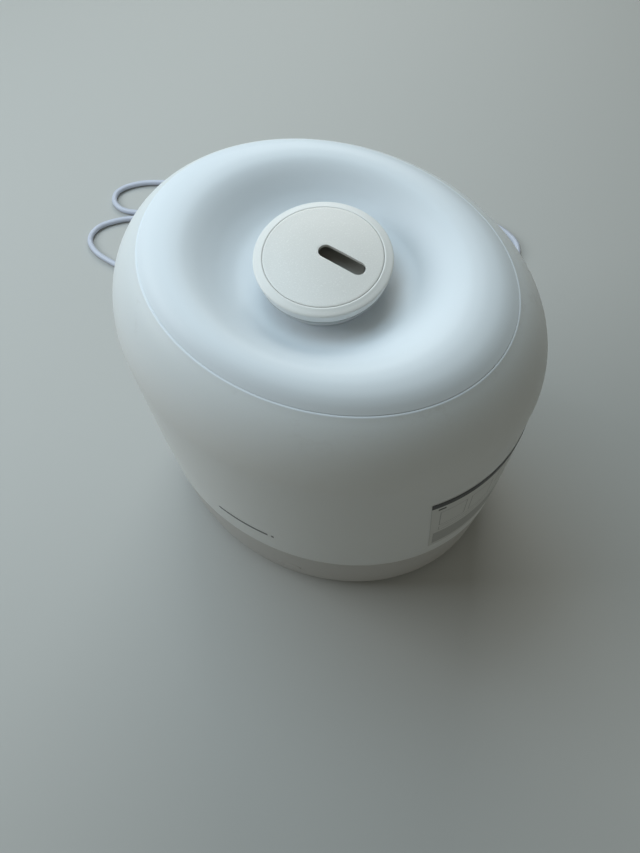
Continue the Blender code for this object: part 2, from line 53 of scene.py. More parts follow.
def addCamera(view):
    lens = bpy.data.cameras.new("camera")
    lens.sensor_width = 36
    lens.lens = view["lens"]
    lens.clip_start = 0.01
    camera = bpy.data.objects.new("camera", lens)
    bpy.context.scene.collection.objects.link(camera)
    turn = Matrix.Rotation(math.radians(view["heading"]), 4, "Z")
    tip = Matrix.Rotation(math.radians(90 - view["pitch"]), 4, "X")
    roll = Matrix.Rotation(math.radians(view["roll"]), 4, "Z")
    camera.matrix_world = Matrix.Translation(Vector(view["at"]) * mm) @ turn @ tip @ roll
    bpy.context.scene.camera = camera


addCamera(cameraView)
print("camera placed")


# ---------- shader helpers ----------
class Wire:
    # a socket that can be used in sums
    def __init__(self, finish, socket):
        self.finish = finish
        self.socket = socket

    def maths(self, operation, first, second=None, third=None):
        given = [v for v in (first, second, third) if v is not None]
        return self.finish.node("ShaderNodeMath", {"operation": operation}, dict(enumerate(given)))

    def __add__(self, other): return self.maths("ADD", self, other)
    def __radd__(self, other): return self.maths("ADD", other, self)
    def __sub__(self, other): return self.maths("SUBTRACT", self, other)
    def __rsub__(self, other): return self.maths("SUBTRACT", other, self)
    def __mul__(self, other): return self.maths("MULTIPLY", self, other)
    def __rmul__(self, other): return self.maths("MULTIPLY", other, self)
    def __gt__(self, other): return self.maths("GREATER_THAN", self, other)
    def __lt__(self, other): return self.maths("LESS_THAN", self, other)

    def most(self, other): return self.maths("MAXIMUM", self, other)

    def clamp(self):
        held = self.maths("MULTIPLY_ADD", self, 1.0, 0.0)
        held.socket.node.use_clamp = True
        return held


class Finish:
    # one material and its Principled shader
    def __init__(self, name, color, roughness, metallic=0.0):
        self.material = bpy.data.materials.new(name)
        self.material.use_nodes = True
        self.tree = self.material.node_tree
        self.shader = self.tree.nodes["Principled BSDF"]
        self.put("Base Color", color)
        self.put("Roughness", roughness)
        self.put("Metallic", metallic)
        self.material.diffuse_color = (*color[:3], 1) if isinstance(color, tuple) else (0.8, 0.8, 0.8, 1)

    def put(self, name, value):
        self.join(self.shader.inputs[name], value)

    def join(self, socket, value):
        if isinstance(value, Wire):
            self.tree.links.new(value.socket, socket)
        elif isinstance(value, tuple) and len(value) == 3 and socket.type == "RGBA":
            socket.default_value = (*value, 1)
        else:
            socket.default_value = value

    def node(self, kind, settings=None, sockets=None, output=0):
        made = self.tree.nodes.new(kind)
        for key, value in (settings or {}).items():
            setattr(made, key, value)
        for key, value in (sockets or {}).items():
            self.join(made.inputs[key], value)
        return Wire(self, made.outputs[output])

    def places(self, output="Object"):
        return self.node("ShaderNodeTexCoord", output=output)

    def stretch(self, scale, kind="Object"):
        return self.node("ShaderNodeMapping", {}, {"Vector": self.places(kind), "Scale": scale})

    def noise(self, scale, detail=2.0, rough=0.5, vector=None):
        return self.node("ShaderNodeTexNoise", {}, {
            "Vector": vector or self.places(), "Scale": scale, "Detail": detail, "Roughness": rough})

    def fade(self, value, low, high, start=0.0, end=1.0):
        return self.node("ShaderNodeMapRange", {"clamp": True}, {
            "Value": value, "From Min": low, "From Max": high, "To Min": start, "To Max": end})

    def blend(self, factor, first, second):
        return self.node("ShaderNodeMix", {"data_type": "RGBA"}, {0: factor, 6: first, 7: second}, 2)

    def part(self, axis, kind="Object"):
        return self.node("ShaderNodeSeparateXYZ", {}, {0: self.places(kind)}, "XYZ".index(axis))

    def bump(self, height, distance, strength=1.0):
        self.put("Normal", self.node("ShaderNodeBump", {}, {
            "Height": height, "Distance": distance, "Strength": strength}))


# ---------- materials ----------
def frostedFinish():
    # tank wall: cloudy polypropylene, brushed by handling just under the rim; painted cool light tints the
    # shoulder and a painted highlight lines the top edge
    look = Finish("tankFrost", (0.73, 0.73, 0.71), 0.4)
    cloud = look.noise(9.0, 3.0)
    speck = look.noise(900.0, 2.0)
    scuff = look.fade(look.noise(55.0, 5.0, 0.7), 0.60, 0.70)
    rim = look.fade(look.part("Z"), 0.205, 0.221)
    # painted highlight: the top edge of the wall under the seam is coloured pale blue
    lip = look.fade(look.part("Z"), 0.22185, 0.2221)
    tint = look.blend(cloud, (0.705, 0.715, 0.705), (0.765, 0.775, 0.77))
    # painted light: the shoulder turns pale blue towards the top, standing in for cool daylight falling on it
    cool = look.fade(look.part("Z"), 0.185, 0.220)
    tint = look.blend(cool * 0.7, tint, (0.74, 0.79, 0.82))
    tint = look.blend(lip, look.blend(scuff * rim * 0.5, tint, (0.62, 0.63, 0.63)), (0.80, 0.86, 0.92))
    look.put("Base Color", tint)
    look.put("Roughness", 0.36 + cloud * 0.1 + scuff * rim * 0.2)
    look.bump(speck * 0.6 + cloud * 0.4, 0.00005, 0.5)
    look.put("Subsurface Weight", 0.12)
    look.put("Subsurface Radius", (0.006, 0.006, 0.005))
    return look.material


def coverFinish():
    # cool white satin lid, with a few rubbed spots
    look = Finish("coverSatin", (0.78, 0.84, 0.89), 0.45)
    cloud = look.noise(12.0, 3.0)
    speck = look.noise(1500.0, 2.0)
    rub = look.fade(look.noise(160.0, 4.0, 0.75), 0.66, 0.74)
    look.put("Base Color", look.blend(cloud, (0.74, 0.80, 0.86), (0.79, 0.85, 0.90)))
    look.put("Roughness", 0.42 + cloud * 0.08 + rub * 0.1)
    look.put("Specular IOR Level", 0.35)
    look.bump(speck, 0.00003, 0.4)
    return look.material


def nozzleFinish(name, color, grain, rough):
    # fine spark-eroded texture of the knob, with painted shade low on the ring's side
    look = Finish(name, color, rough)
    speck = look.noise(1700.0, 3.0, 0.6)
    pit = look.fade(look.noise(2600.0, 2.0), 0.35, 0.62)
    darker = tuple(c * 0.93 for c in color)
    # painted shade: the ring's side darkens below 222.8 mm towards its bottom edge
    paintedRingShade = look.fade(look.part("Z"), 0.2228, 0.2222)
    look.put("Base Color", look.blend(paintedRingShade * 0.75, look.blend(speck, darker, color), (0.40, 0.42, 0.43)))
    look.put("Roughness", rough - 0.05 + speck * 0.12)
    look.bump(speck * 0.6 + pit * 0.4, grain, 0.6)
    look.put("Specular IOR Level", 0.8)
    return look.material


def baseFinish():
    look = Finish("baseSatin", (0.62, 0.61, 0.59), 0.42)
    cloud = look.noise(14.0, 3.0)
    speck = look.noise(1200.0, 2.0)
    # painted shade: the housing darkens towards the floor below 12 mm, where its side tucks in
    foot = look.fade(look.part("Z"), 0.012, 0.003)
    tint = look.blend(cloud, (0.49, 0.475, 0.455), (0.53, 0.515, 0.495))
    look.put("Base Color", look.blend(foot * 0.5, tint, (0.38, 0.365, 0.35)))
    look.put("Roughness", 0.38 + cloud * 0.1)
    look.bump(speck, 0.00004, 0.5)
    return look.material


def mouldedFinish(name, color, rough=0.45):
    # inside plastic: faint flow marks and a light grain
    look = Finish(name, color, rough)
    flow = look.noise(25.0, 4.0, 0.6)
    speck = look.noise(1400.0, 2.0)
    darker = tuple(c * 0.9 for c in color)
    look.put("Base Color", look.blend(flow, darker, color))
    look.put("Roughness", rough - 0.06 + flow * 0.14)
    look.bump(speck * 0.5 + flow * 0.5, 0.00005, 0.5)
    return look.material


def rubberFinish(name, color):
    look = Finish(name, color, 0.7)
    speck = look.noise(1100.0, 3.0, 0.7)
    dust = look.fade(look.noise(60.0, 4.0), 0.5, 0.75)
    lighter = tuple(min(1.0, c * 1.25 + 0.02) for c in color)
    look.put("Base Color", look.blend(dust, color, lighter))
    look.put("Roughness", 0.6 + speck * 0.2)
    look.bump(speck, 0.00008, 0.6)
    return look.material


def metalFinish(name, color, rough, lines=True):
    look = Finish(name, color, rough, 1.0)
    grainAlong = look.stretch((60.0, 2400.0, 2400.0) if lines else (900.0, 900.0, 900.0))
    grain = look.noise(1.0, 3.0, 0.6, grainAlong)
    tarnish = look.noise(70.0, 3.0)
    look.put("Base Color", look.blend(tarnish, tuple(c * 0.85 for c in color), color))
    look.put("Roughness", rough - 0.08 + grain * 0.2)
    look.bump(grain, 0.00002, 0.4)
    return look.material


def boardFinish():
    # solder mask with copper tracks seen as lighter green paths
    look = Finish("boardMask", (0.02, 0.16, 0.07), 0.35)
    cells = look.node("ShaderNodeTexBrick", {}, {
        "Vector": look.places(), "Scale": 260.0, "Mortar Size": 0.05, "Color1": (0.02, 0.15, 0.07),
        "Color2": (0.02, 0.18, 0.08), "Mortar": (0.05, 0.30, 0.13)})
    look.put("Base Color", cells)
    look.put("Roughness", 0.3 + look.noise(400.0) * 0.12)
    look.bump(look.noise(700.0), 0.00003, 0.4)
    return look.material


def ceramicFinish():
    look = Finish("transducerFace", (0.72, 0.66, 0.48), 0.35, 0.6)
    ring = look.noise(500.0, 3.0)
    look.put("Base Color", look.blend(ring, (0.62, 0.57, 0.42), (0.78, 0.73, 0.56)))
    look.put("Roughness", 0.25 + ring * 0.2)
    look.bump(ring, 0.00003, 0.4)
    return look.material


def cordFinish():
    # smooth lilac-white jacket, a touch duller where it has been handled
    look = Finish("cordJacket", (0.58, 0.62, 0.73), 0.42)
    cloud = look.noise(40.0, 3.0)
    speck = look.noise(1800.0, 2.0)
    look.put("Base Color", look.blend(cloud, (0.53, 0.57, 0.68), (0.62, 0.66, 0.77)))
    look.put("Roughness", 0.36 + cloud * 0.14)
    look.bump(speck, 0.00003, 0.4)
    return look.material


def labelFinish():
    # glossy film: dark heading bar, thin frame lines, plain blocks and no lettering
    look = Finish("labelFilm", (0.62, 0.62, 0.60), 0.42)
    u = look.part("X", "UV")
    v = look.part("Y", "UV")

    def patch(uLow, uHigh, vLow, vHigh):
        return (u > uLow) * (u < uHigh) * (v > vLow) * (v < vHigh)

    def outline(uLow, uHigh, vLow, vHigh, wide=0.007):
        inner = patch(uLow + wide, uHigh - wide, vLow + wide, vHigh - wide)
        return (patch(uLow, uHigh, vLow, vHigh) - inner).clamp()

    paper = look.blend(look.noise(30.0, 2.0), (0.60, 0.60, 0.58), (0.65, 0.65, 0.63))
    rules = outline(0.07, 0.30, 0.50, 0.80).most(outline(0.34, 0.56, 0.50, 0.80)).most(
        outline(0.07, 0.94, 0.38, 0.46, 0.006)).most(outline(0.62, 0.92, 0.62, 0.84))
    fine = look.node("ShaderNodeTexWave", {"bands_direction": "Y"}, {
        "Vector": look.places("UV"), "Scale": 22.0, "Distortion": 0.0})
    block = patch(0.03, 0.80, 0.06, 0.33)
    dash = patch(0.05, 0.11, 0.855, 0.885)
    heading = patch(-0.1, 1.1, 0.918, 1.1)
    tint = look.blend(block * (0.55 + fine * 0.12), paper, (0.26, 0.26, 0.255))
    tint = look.blend(rules * 0.7, tint, (0.22, 0.22, 0.22))
    look.put("Base Color", look.blend(heading.most(dash), tint, (0.018, 0.019, 0.021)))
    look.put("Roughness", 0.42 + look.noise(90.0) * 0.08)
    look.put("Coat Weight", 0.08)
    return look.material


def markFinish():
    look = Finish("printInk", (0.10, 0.10, 0.105), 0.5)
    worn = look.noise(800.0, 3.0)
    look.put("Base Color", look.blend(worn, (0.08, 0.08, 0.085), (0.16, 0.16, 0.165)))
    look.put("Roughness", 0.45 + worn * 0.1)
    return look.material


looks = {
    "frost": frostedFinish(),
    "cover": coverFinish(),
    "disc": nozzleFinish("discGrain", (0.76, 0.76, 0.74), 0.00005, 0.25),
    "ring": nozzleFinish("ringSatin", (0.84, 0.85, 0.84), 0.00004, 0.45),
    "base": baseFinish(),
    "inner": mouldedFinish("innerWhite", (0.74, 0.75, 0.76)),
    # painted shade: the baffle's mid grey stands for the shade it sits in under the slot
    "baffle": mouldedFinish("baffleShadeGrey", (0.56, 0.55, 0.51)),
    "black": mouldedFinish("blackPlastic", (0.035, 0.035, 0.04)),
    "silicone": rubberFinish("sealSilicone", (0.55, 0.60, 0.65)),
    "rubber": rubberFinish("footRubber", (0.12, 0.12, 0.125)),
    "steel": metalFinish("screwSteel", (0.62, 0.62, 0.64), 0.3),
    "alloy": metalFinish("sinkAlloy", (0.72, 0.73, 0.75), 0.35, False),
    "board": boardFinish(),
    "ceramic": ceramicFinish(),
    "cord": cordFinish(),
    "label": labelFinish(),
    "mark": markFinish()}
print("materials made:", len(looks))


# ---------- modelling helpers ----------
def dress(piece, look):
    piece.data.materials.clear()
    piece.data.materials.append(looks[look])


def edit(piece):
    bpy.ops.object.select_all(action="DESELECT")
    bpy.context.view_layer.objects.active = piece
    piece.select_set(True)
    bpy.ops.object.mode_set(mode="EDIT")


def done(piece, look, angle=38):
    bpy.ops.mesh.select_all(action="SELECT")
    bpy.ops.mesh.normals_make_consistent(inside=False)
    bpy.ops.object.mode_set(mode="OBJECT")
    bpy.ops.object.shade_smooth_by_angle(angle=math.radians(angle))
    dress(piece, look)
    return piece


def lathe(name, rings, look, sides=128, caps=False, centre=(0, 0), angle=38):
    # a ring of edges is drawn out along the section, one extrusion for each point
    bpy.ops.object.select_all(action="DESELECT")
    bpy.ops.mesh.primitive_circle_add(vertices=sides, radius=1, fill_type="NOTHING", location=(0, 0, 0))
    piece = bpy.context.object
    piece.name = name
    edit(piece)
    wide, deep, high = rings[0]
    spot = (centre[0] * mm, centre[1] * mm, 0)
    bpy.ops.transform.resize(value=(wide * mm, deep * mm, 1), center_override=(0, 0, 0))
    bpy.ops.transform.translate(value=(spot[0], spot[1], high * mm))
    for ring in rings[1:]:
        rise = (ring[2] - high) * mm
        bpy.ops.mesh.extrude_region_move(TRANSFORM_OT_translate={"value": (0, 0, rise)})
        bpy.ops.transform.resize(value=(ring[0] / wide, ring[1] / deep, 1), center_override=spot)
        wide, deep, high = ring
    bpy.ops.mesh.select_all(action="DESELECT")
    bpy.ops.mesh.select_non_manifold()
    if caps:
        fillEnds(piece)
    else:
        bpy.ops.mesh.bridge_edge_loops()
    return done(piece, look, angle)


def fillEnds(piece):
    # closes each open loop with its own face
    shape = bmesh.from_edit_mesh(piece.data)
    seen = set()
    for edge in [e for e in shape.edges if e.is_boundary]:
        if edge in seen:
            continue
        chain = [edge]
        seen.add(edge)
        for link in chain:
            for other in [o for vert in link.verts for o in vert.link_edges]:
                if other.is_boundary and other not in seen:
                    seen.add(other)
                    chain.append(other)
        bmesh.ops.edgeloop_fill(shape, edges=chain)
    bmesh.update_edit_mesh(piece.data)


def applyAll(piece):
    bpy.ops.object.select_all(action="DESELECT")
    bpy.context.view_layer.objects.active = piece
    piece.select_set(True)
    for change in list(piece.modifiers):
        bpy.ops.object.modifier_apply(modifier=change.name)


def cutWith(piece, tool, operation="DIFFERENCE"):
    change = piece.modifiers.new("cut", "BOOLEAN")
    change.operation = operation
    change.object = tool
    applyAll(piece)
    bpy.data.objects.remove(tool, do_unlink=True)


def soften(piece, width, segments=3, angle=35):
    change = piece.modifiers.new("soften", "BEVEL")
    change.width = width * mm
    change.segments = segments
    change.limit_method = "ANGLE"
    change.angle_limit = math.radians(angle)
    change.harden_normals = False
    applyAll(piece)


def evenShade(piece):
    # large faces rule the shading, so narrow ones beside a cut leave no smudge
    change = piece.modifiers.new("even", "WEIGHTED_NORMAL")
    change.keep_sharp = True
    change.weight = 100
    applyAll(piece)


def place(piece, matrix):
    # puts the place into the mesh, so the object stays at the origin
    piece.data.transform(matrix)
    piece.data.update()
    return piece


def stadium(name, width, height, thick, look, sides=20):
    # slot shape: two half circles pulled apart, then given thickness
    bpy.ops.object.select_all(action="DESELECT")
    bpy.ops.mesh.primitive_circle_add(vertices=sides * 2, radius=height / 2 * mm, fill_type="NGON")
    piece = bpy.context.object
    piece.name = name
    bpy.ops.object.mode_set(mode="EDIT")
    shape = bmesh.from_edit_mesh(piece.data)
    half = (width - height) / 2 * mm
    for side in (1, -1):
        bpy.ops.mesh.select_all(action="DESELECT")
        for vert in shape.verts:
            vert.select = vert.co.x * side > 1e-7
        shape.select_flush_mode()
        bmesh.update_edit_mesh(piece.data)
        bpy.ops.transform.translate(value=(half * side, 0, 0))
    bpy.ops.mesh.select_all(action="SELECT")
    bpy.ops.mesh.extrude_region_move(TRANSFORM_OT_translate={"value": (0, 0, thick * mm)})
    return done(piece, look)


# ---------- shared body shape, read from the frame ----------
tankLow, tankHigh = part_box("tank_shell")
body = {"halfX": tankHigh[0] / mm, "halfY": tankHigh[1] / mm, "squeeze": 0.93, "wall": 2.2}
seam = {"z": tankHigh[2] / mm}
bend = {"from": 178.0, "wide": 44.0, "high": 52.0}


def oval(inset, high):
    return (body["halfX"] - inset, body["halfY"] - inset * body["squeeze"], high)


def roundOff(z, inset, high):
    share = (z - bend["from"]) / high
    return inset + bend["wide"] * (1 - math.sqrt(max(0.0, 1 - share * share)))


# ---------- cord, first of the pieces ----------
cord = {"thick": 4.3, "route": [
    (25.0, 110.3, 14.0), (25.0, 118.0, 13.4), (26.0, 128.0, 10.6), (28.5, 140.0, 6.4), (33.0, 156.0, 3.2),
    (42.0, 178.0, 2.5), (50.0, 198.0, 2.5), (53.5, 215.5, 2.5), (49.0, 229.0, 2.5), (38.0, 236.5, 2.5),
    (20.0, 239.5, 2.5), (-12.0, 233.0, 2.5), (-50.0, 223.0, 2.5), (-90.0, 211.0, 2.5),
    (-130.0, 198.0, 2.5), (-170.0, 184.0, 2.5), (-200.0, 173.5, 2.5), (-222.0, 164.5, 2.5),
    (-240.0, 156.0, 2.5), (-256.0, 147.5, 2.5), (-267.0, 137.5, 2.5), (-271.5, 127.5, 2.5),
    (-267.5, 118.5, 2.5), (-257.0, 114.8, 2.5), (-243.0, 118.5, 2.5), (-230.0, 129.0, 2.5),
    (-215.0, 139.0, 2.5), (-190.0, 146.0, 2.5), (-160.0, 150.0, 2.5), (-125.0, 152.5, 2.5),
    (-92.0, 153.5, 2.5), (-70.0, 153.0, 2.5), (-57.0, 147.9, 2.5), (-52.0, 135.7, 2.5),
    (-57.0, 123.5, 2.5), (-70.0, 118.4, 2.5), (-92.0, 118.0, 2.5), (-125.0, 119.0, 2.5),
    (-160.0, 121.0, 2.5), (-195.0, 122.5, 2.5), (-224.0, 119.5, 2.5), (-243.0, 111.5, 2.5),
    (-256.5, 101.0, 2.5), (-264.5, 89.5, 2.5), (-263.5, 77.0, 2.5), (-252.5, 69.0, 2.5),
    (-235.0, 66.0, 2.5), (-215.0, 66.5, 2.5), (-192.0, 70.0, 2.8), (-172.0, 74.0, 3.7),
    (-156.0, 77.0, 4.4), (-148.3, 78.4, 4.6)]}
plug = {"start": (-148.0, 78.45, 4.6), "turn": math.atan2(1.4, 7.7), "grip": 24.0, "wide": 15.6, "high": 8.4}


def smoothRoute(points):
    knots = [Vector(p) for p in points]
    knots = [knots[0] * 2 - knots[1]] + knots + [knots[-1] * 2 - knots[-2]]
    fine = []
    for a, b, c, d in zip(knots, knots[1:], knots[2:], knots[3:]):
        for i in range(12):
            t = i / 12
            bow = (2 * b + (c - a) * t + (2 * a - 5 * b + 4 * c - d) * t ** 2)
            fine.append(0.5 * (bow + (3 * b - a - 3 * c + d) * t ** 3))
    fine.append(knots[-2].copy())
    return fine


def makeCord():
    fine = smoothRoute(cord["route"])
    curve = bpy.data.curves.new("powerLead", "CURVE")
    curve.dimensions = "3D"
    curve.bevel_depth = cord["thick"] / 2 * mm
    curve.bevel_resolution = 4
    curve.use_fill_caps = True
    spline = curve.splines.new("POLY")
    spline.points.add(len(fine) - 1)
    for point, spot in zip(spline.points, fine):
        point.co = (*(spot * mm), 1)
    spline.use_smooth = True
    lead = bpy.data.objects.new("powerLead", curve)
    bpy.context.scene.collection.objects.link(lead)
    curve.materials.append(looks["cord"])
    length = sum((b - a).length for a, b in zip(fine, fine[1:])) * mm
    return lead, length


def makeGland():
    # tapered strain relief with its row of flex slots
    section = [(4.6, 4.6, 0.0), (4.6, 4.6, 12.6), (4.3, 4.3, 13.1)]
    for i in range(5):
        low = 14.0 + i * 3.2
        thick = 4.2 - 0.34 * i
        section += [(thick, thick, low), (thick - 0.1, thick - 0.1, low + 1.7),
                    (thick - 0.7, thick - 0.7, low + 1.9), (thick - 0.8, thick - 0.8, low + 2.9)]
    section += [(2.9, 2.9, 30.2), (2.7, 2.7, 30.9), (2.3, 2.3, 31.0)]
    piece = lathe("strainRelief", section, "cord", 40, True)
    exitX, exitZ = 25.0, 14.0
    turn = Matrix.Rotation(math.radians(-90), 4, "X")
    return place(piece, Matrix.Translation((exitX * mm, 79.0 * mm, exitZ * mm)) @ turn)


def plugPlace(along):
    forward = Matrix.Rotation(plug["turn"], 4, "Z")
    stand = Matrix.Rotation(math.radians(90), 4, "Y") @ Matrix.Rotation(math.radians(90), 4, "Z")
    start = Matrix.Translation(Vector(plug["start"]) * mm)
    return start @ forward @ Matrix.Translation((along * mm, 0, 0)) @ stand


def makePlug():
    grip = stadium("plugGrip", plug["wide"], plug["high"], plug["grip"], "cord", 12)
    soften(grip, 1.6, 4, 50)
    for side in (-1, 1):
        for i in range(4):
            bpy.ops.mesh.primitive_cube_add(size=1, location=(0, 0, 0))
            groove = bpy.context.object
            lift = Matrix.Translation((0, side * plug["high"] / 2 * mm, (7.0 + 3.2 * i) * mm))
            place(groove, lift @ Matrix.Diagonal((8.0 * mm, 1.0 * mm, 1.2 * mm, 1)))
            cutWith(grip, groove)
    place(grip, plugPlace(0.0))
    bpy.ops.mesh.primitive_cube_add(size=1, location=(0, 0, 0))
    shell = bpy.context.object
    shell.name = "plugShell"
    place(shell, Matrix.Translation((0, 0, 6.85 * mm)) @ Matrix.Diagonal((12 * mm, 4.4 * mm, 13.7 * mm, 1)))
    edit(shell)
    mesh = bmesh.from_edit_mesh(shell.data)
    for face in mesh.faces:
        face.select = face.normal.z > 0.9
    bmesh.update_edit_mesh(shell.data)
    bpy.ops.mesh.inset(thickness=0.35 * mm, depth=0)
    bpy.ops.mesh.extrude_region_move(TRANSFORM_OT_translate={"value": (0, 0, -9.0 * mm)})
    done(shell, "steel")
    for side in (-1, 1):
        bpy.ops.mesh.primitive_cube_add(size=1, location=(0, 0, 0))
        window = bpy.context.object
        place(window, Matrix.Translation((side * 2.8 * mm, 2.2 * mm, 8.5 * mm))
              @ Matrix.Diagonal((2.2 * mm, 1.0 * mm, 2.2 * mm, 1)))
        cutWith(shell, window)
    soften(shell, 0.2, 2, 50)
    place(shell, plugPlace(24.3))
    bpy.ops.mesh.primitive_cube_add(size=1, location=(0, 0, 0))
    tongue = bpy.context.object
    tongue.name = "plugTongue"
    place(tongue, Matrix.Translation((0, -0.9 * mm, 8.9 * mm))
          @ Matrix.Diagonal((10.6 * mm, 1.5 * mm, 8.2 * mm, 1)))
    soften(tongue, 0.2, 2, 50)
    dress(tongue, "black")
    place(tongue, plugPlace(24.3))
    return grip, shell, tongue


lead, leadLength = makeCord()
gland = makeGland()
grip, shell, tongue = makePlug()
for piece, node, slot in ((lead, "power_cord", "cord_white"), (gland, "cable_gland", "cord_white"),
                          (grip, "plug_grip", "cord_white"), (shell, "plug_shell", "steel")):
    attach(piece, "base")
    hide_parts(node)
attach(tongue, "base")
print("cord made, length", round(leadLength, 3))


# ---------- base ----------
base = {"face": 1.2, "buttonX": 18.0, "buttonZ": 28.0, "buttonW": 15.0, "buttonH": 6.4, "buttonDeep": 5.6,
        "buttonIn": 5.5, "buttonGap": 0.3, "cableX": 25.0, "cableZ": 14.0, "cableBore": 4.9}


def frontPlace(x, z, out, halfX, halfY):
    # stands a piece built on the XY plane on the curved front, its +Z pointing outward
    y = -halfY * math.sqrt(1 - (x / halfX) ** 2)
    turn = math.atan2(x / halfX ** 2, -y / halfY ** 2)
    outward = Vector((math.sin(turn), -math.cos(turn), 0))
    upright = Matrix.Rotation(turn, 4, "Z") @ Matrix.Rotation(math.radians(90), 4, "X")
    spot = Vector((x, y, z)) + outward * out
    return Matrix.Translation(spot * mm) @ upright


def makeBase():
    outside = [oval(i, z) for i, z in (
        (7.6, 3.0), (6.0, 3.3), (4.6, 4.3), (3.6, 5.9), (2.9, 8.0), (2.4, 11.0), (2.0, 15.0), (1.6, 21.0),
        (1.2, 29.0), (0.95, 37.0), (0.75, 45.0), (0.6, 52.0), (0.55, 58.6), (0.75, 59.2), (1.3, 59.4))]
    inside = [oval(i, z) for i, z in (
        (2.5, 59.4), (2.7, 59.2), (2.7, 57.0), (9.6, 57.0), (9.6, 54.8), (3.2, 54.8), (3.4, 28.0),
        (4.6, 14.0), (6.4, 7.0), (7.6, 5.4))]
    piece = lathe("baseHousing", outside + inside, "base")
    halfX, halfY, _ = oval(base["face"], 0)
    room = 2 * base["buttonGap"]
    hole = stadium("buttonHole", base["buttonW"] + room, base["buttonH"] + room, 12, "base")
    place(hole, frontPlace(base["buttonX"], base["buttonZ"], -7.0, halfX, halfY))
    cutWith(piece, hole)
    wide = base["cableBore"]
    bore = lathe("glandHole", [(wide, wide, 0), (wide, wide, 20)], "base", 40, True)
    spot = Matrix.Translation((base["cableX"] * mm, 78 * mm, base["cableZ"] * mm))
    place(bore, spot @ Matrix.Rotation(math.radians(-90), 4, "X"))
    cutWith(piece, bore)
    piece.data.shade_smooth()
    edit(piece)
    done(piece, "base", 30)
    return piece


def makeButton():
    halfX, halfY, _ = oval(base["face"], 0)
    piece = stadium("powerButton", base["buttonW"], base["buttonH"], base["buttonDeep"], "base", 24)
    soften(piece, 0.3, 3, 50)
    return place(piece, frontPlace(base["buttonX"], base["buttonZ"], -base["buttonIn"], halfX, halfY))


baseHousing = makeBase()
powerButton = makeButton()
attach(baseHousing, "base")
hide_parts("base_housing")
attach(powerButton, "button")
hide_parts("power_button")
print("base made")


# ---------- tank ----------
def wallInset(z):
    # the tank wall leans in a little above its middle
    return 0.4 * max(0.0, (z - 110) / 40)


def makeTank():
    low = 59.9
    outside = [oval(i, low + z) for i, z in ((1.5, 0.0), (0.95, 0.1), (0.45, 0.45), (0.15, 1.1), (0.0, 2.2))]
    outside += [oval(wallInset(z), z) for z in (80.0, 110.0, 130.0, 150.0)]
    outside += [oval(0.7, 165.0)]
    steps = 22
    edge = 0.35
    for i in range(steps + 1):
        z = bend["from"] + (seam["z"] - edge - bend["from"]) * i / steps
        outside.append(oval(roundOff(z, 0.9, bend["high"]), z))
    lip = roundOff(seam["z"] - edge, 0.9, bend["high"])
    outside += [oval(lip + 0.25, seam["z"] - 0.1), oval(lip + 0.6, seam["z"])]
    inside = [oval(26.5, seam["z"]), oval(26.8, seam["z"] - 0.3), oval(26.8, 219.9), oval(24.0, 219.7)]
    for i in range(10):
        z = 217.5 - (217.5 - bend["from"]) * i / 9
        inside.append(oval(roundOff(z, 3.1, bend["high"] - 2), z))
    inside += [oval(2.2, 110.0), oval(2.2, low + 0.2), oval(2.0, low)]
    return lathe("tankShell", outside + inside, "frost", 160, angle=50)


def makeTube():
    section = [(17, 17, 44.4), (17, 17, 205.5), (16.6, 16.6, 206), (15.4, 15.4, 206), (15, 15, 205.5),
               (15, 15, 44.4), (15.4, 15.4, 44), (16.6, 16.6, 44)]
    return lathe("mistTube", section, "frost", 64)


label = {"start": -38.0, "lean": 3.6, "end": 4.0, "low": 77.0, "high": 154.0, "out": 0.12, "thick": 0.1}


def makeLabel():
    # film wrapped round the wall; its front edge leans a little
    bpy.ops.object.select_all(action="DESELECT")
    bpy.ops.mesh.primitive_grid_add(x_subdivisions=48, y_subdivisions=14, size=1, calc_uvs=True)
    piece = bpy.context.object
    piece.name = "ratingLabel"
    for vert in piece.data.vertices:
        across, up = vert.co.x + 0.5, vert.co.y + 0.5
        start = label["start"] + label["lean"] * (1 - up)
        turn = math.radians(start + (label["end"] - start) * across)
        z = label["low"] + (label["high"] - label["low"]) * up
        inset = wallInset(z)
        x = (body["halfX"] - inset + label["out"]) * math.cos(turn)
        y = (body["halfY"] - inset * body["squeeze"] + label["out"]) * math.sin(turn)
        vert.co = Vector((x, y, z)) * mm
    change = piece.modifiers.new("film", "SOLIDIFY")
    change.thickness = label["thick"] * mm
    change.offset = 1
    applyAll(piece)
    edit(piece)
    return done(piece, "label")


mark = {"low": 86.3, "high": 89.1, "start": -102.3, "end": -85.2, "dot": -83.6, "dotHigh": 2.8, "out": 0.05}


